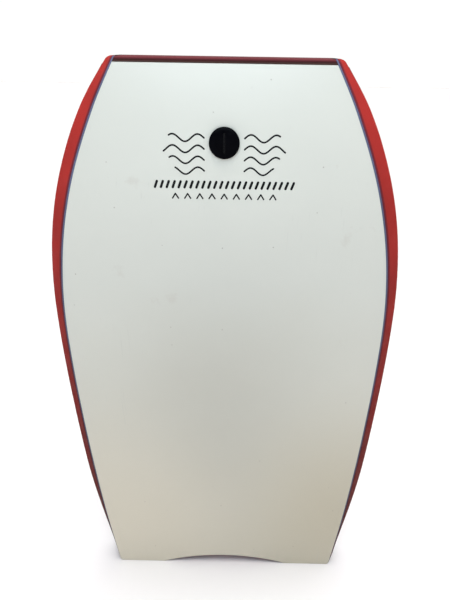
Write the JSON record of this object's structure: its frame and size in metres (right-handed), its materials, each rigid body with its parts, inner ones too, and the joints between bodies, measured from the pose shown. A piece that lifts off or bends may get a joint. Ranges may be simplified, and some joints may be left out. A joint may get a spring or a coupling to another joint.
{
  "type": "bodyboard",
  "caption": "Laminated foam bodyboard with a smooth slick bottom, flared foam rails, crescent tail and a two-part screwed leash plug, standing on its tail.",
  "frame": {"origin": "middle of the floor rectangle under the board, which stands upright on its tail", "axes": "+Z from the tail up to the nose, -Y the way the slick faces, +Y the way the deck faces, +X to the right of someone looking at the slick"},
  "size_m": [0.5828, 0.083, 1.041],
  "materials": {
    "slick_hdpe": "smooth white sheet, semi-gloss",
    "scrim_mesh": "open woven scrim in clear film",
    "core_foam": "closed-cell bead foam",
    "deck_foam": "embossed closed-cell foam skin",
    "rail_foam": "red closed-cell foam",
    "stripe_foam": "blue closed-cell foam",
    "nose_foam": "dark red closed-cell foam",
    "nose_strip_foam": "dark foam strip",
    "tail_foam": "red closed-cell foam",
    "fibreglass": "pultruded glass-fibre tube",
    "cap_plastic": "moulded black plastic",
    "plug_nylon": "glossy moulded black nylon",
    "washer_rubber": "soft black rubber",
    "pin_steel": "stainless steel bar"
  },
  "bodies": {
    "board": {"foam_core": "core_foam", "slick_skin": "slick_hdpe", "bottom_mesh": "scrim_mesh", "deck_skin": "deck_foam", "chine_left": "deck_foam", "chine_right": "deck_foam", "rail_left": "rail_foam", "rail_right": "rail_foam", "pinstripe_left": "stripe_foam", "pinstripe_right": "stripe_foam", "nose_strip": "nose_strip_foam", "nose_bumper": "nose_foam", "tail_bumper": "tail_foam", "stringer_left": "fibreglass", "stringer_right": "fibreglass", "stringer_cap_left_tail": "cap_plastic", "stringer_cap_left_nose": "cap_plastic", "stringer_cap_right_tail": "cap_plastic", "stringer_cap_right_nose": "cap_plastic", "plug_deck_half": "plug_nylon", "leash_pin": "pin_steel", "plug_washer_deck": "washer_rubber"},
    "plug_travel": {"plug_washer_slick": "washer_rubber"},
    "plug_screw": {"plug_slick_screw": "plug_nylon"}
  },
  "joints": [
    {"name": "plug_draw_out", "type": "slide", "parent": "board", "child": "plug_travel", "axis": [0, -0.9904, 0.1379], "range_m": [0, 0.01875]},
    {"name": "plug_unscrew", "type": "hinge", "parent": "plug_travel", "child": "plug_screw", "pos_m": [0, -0.03041, 0.933], "axis": [0, -0.9904, 0.1379], "range_deg": [0, 2250]}
  ],
  "couplings": [
    {"joint": "plug_draw_out", "follows": "plug_unscrew", "m_per_rad": 0.00047746}
  ]
}
